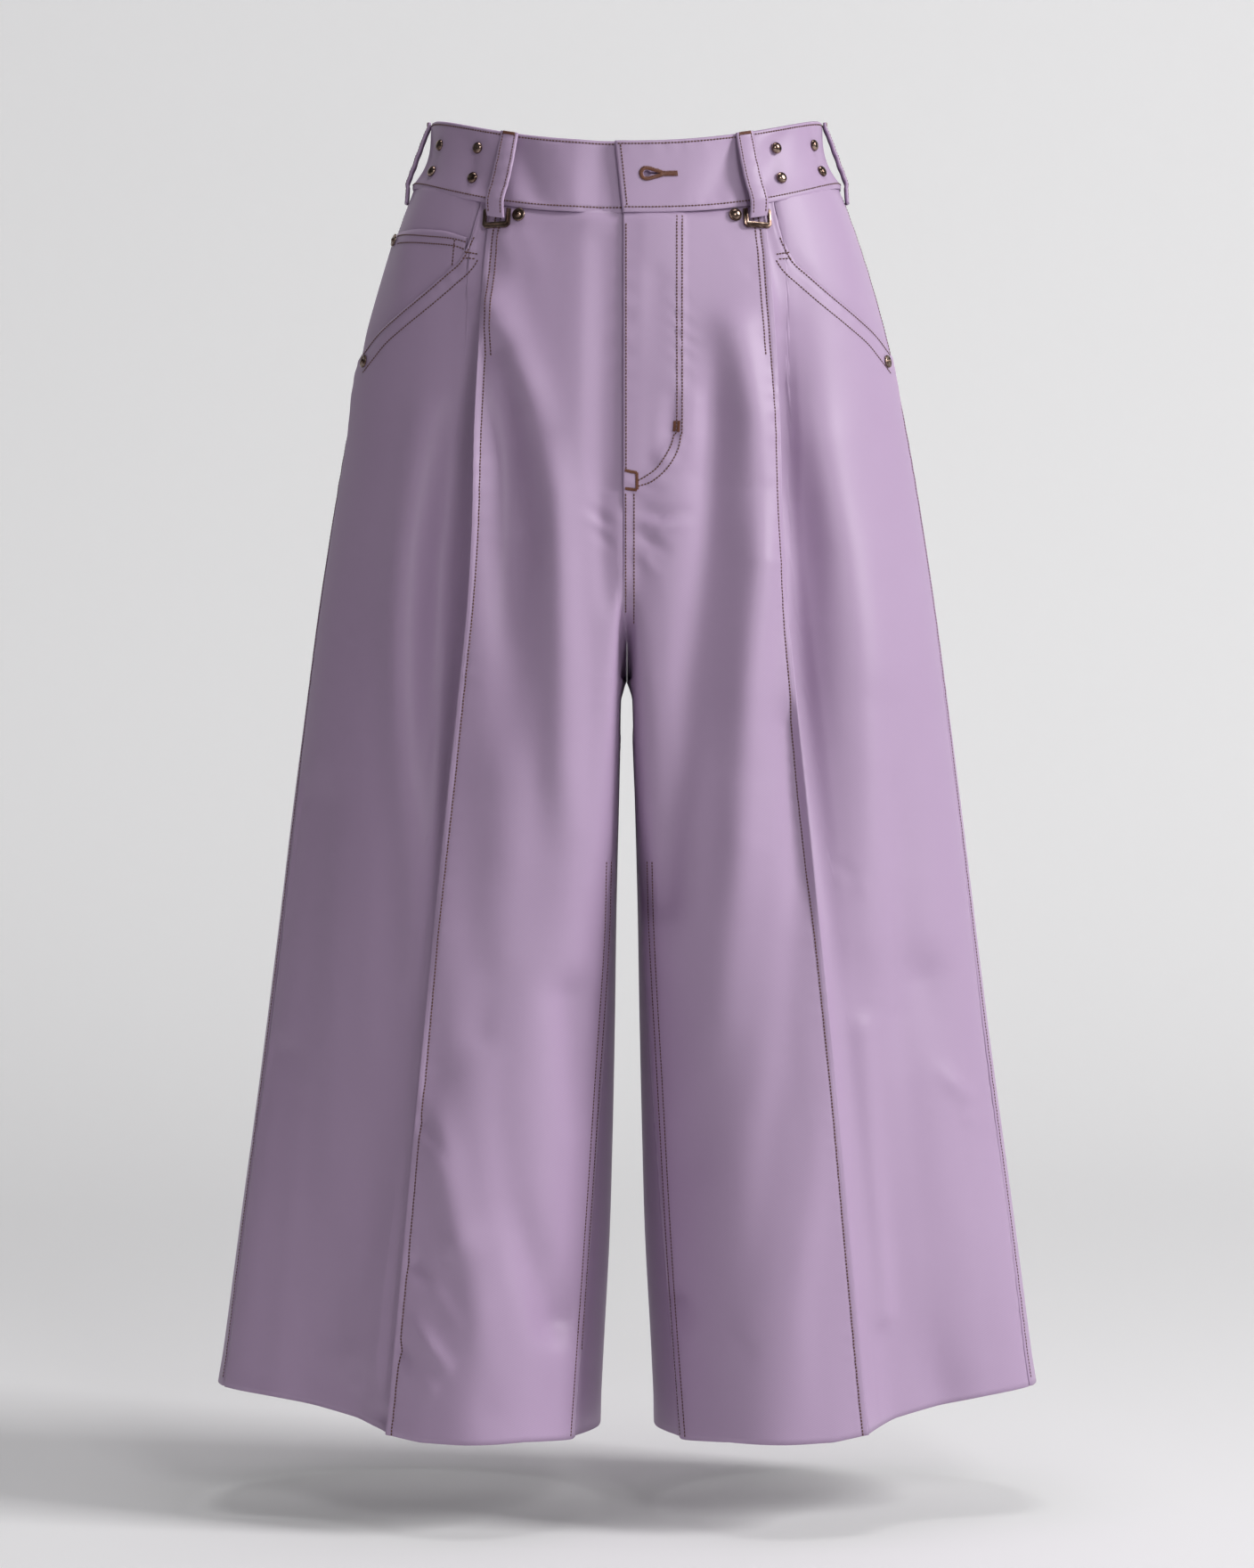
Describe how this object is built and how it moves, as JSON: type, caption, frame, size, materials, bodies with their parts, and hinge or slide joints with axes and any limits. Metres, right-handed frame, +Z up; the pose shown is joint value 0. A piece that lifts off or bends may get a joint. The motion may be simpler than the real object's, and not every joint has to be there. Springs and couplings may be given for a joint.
{
  "type": "culottes",
  "caption": "High-waisted wide-leg culottes in smooth lilac cloth, filled out with no wearer, with creased fronts, slanted pockets, belt loops, a keyhole buttonhole and aged copper trim.",
  "frame": {"origin": "middle of the waist, level with half the height of the waistband's sides, where the wearer holds the garment up", "axes": "+Z up, -Y the front of the garment, +X the wearer's left"},
  "size_m": [0.5316, 0.2448, 0.8443],
  "materials": {
    "lilac_cloth": "smooth coated twill, soft broad sheen",
    "aged_copper": "antique copper, dark with worn warm edges"
  },
  "bodies": {
    "root": {"waistband_left": "lilac_cloth", "waistband_right": "lilac_cloth", "front_centre_left": "lilac_cloth", "front_centre_right": "lilac_cloth", "front_side_left": "lilac_cloth", "front_side_right": "lilac_cloth", "hip_facing_left": "lilac_cloth", "hip_facing_right": "lilac_cloth", "coin_pocket": "lilac_cloth", "back_left": "lilac_cloth", "back_right": "lilac_cloth", "loop_front_left": "lilac_cloth", "loop_front_right": "lilac_cloth", "loop_side_left": "lilac_cloth", "loop_side_right": "lilac_cloth", "loop_back": "lilac_cloth", "keeper_left": "aged_copper", "keeper_right": "aged_copper", "rivet_keeper_left": "aged_copper", "rivet_keeper_right": "aged_copper", "rivet_pocket_left": "aged_copper", "rivet_pocket_right": "aged_copper", "rivet_coin": "aged_copper", "stud_left_1": "aged_copper", "stud_left_2": "aged_copper", "stud_left_3": "aged_copper", "stud_left_4": "aged_copper", "stud_right_1": "aged_copper", "stud_right_2": "aged_copper", "stud_right_3": "aged_copper", "stud_right_4": "aged_copper"}
  },
  "joints": []
}
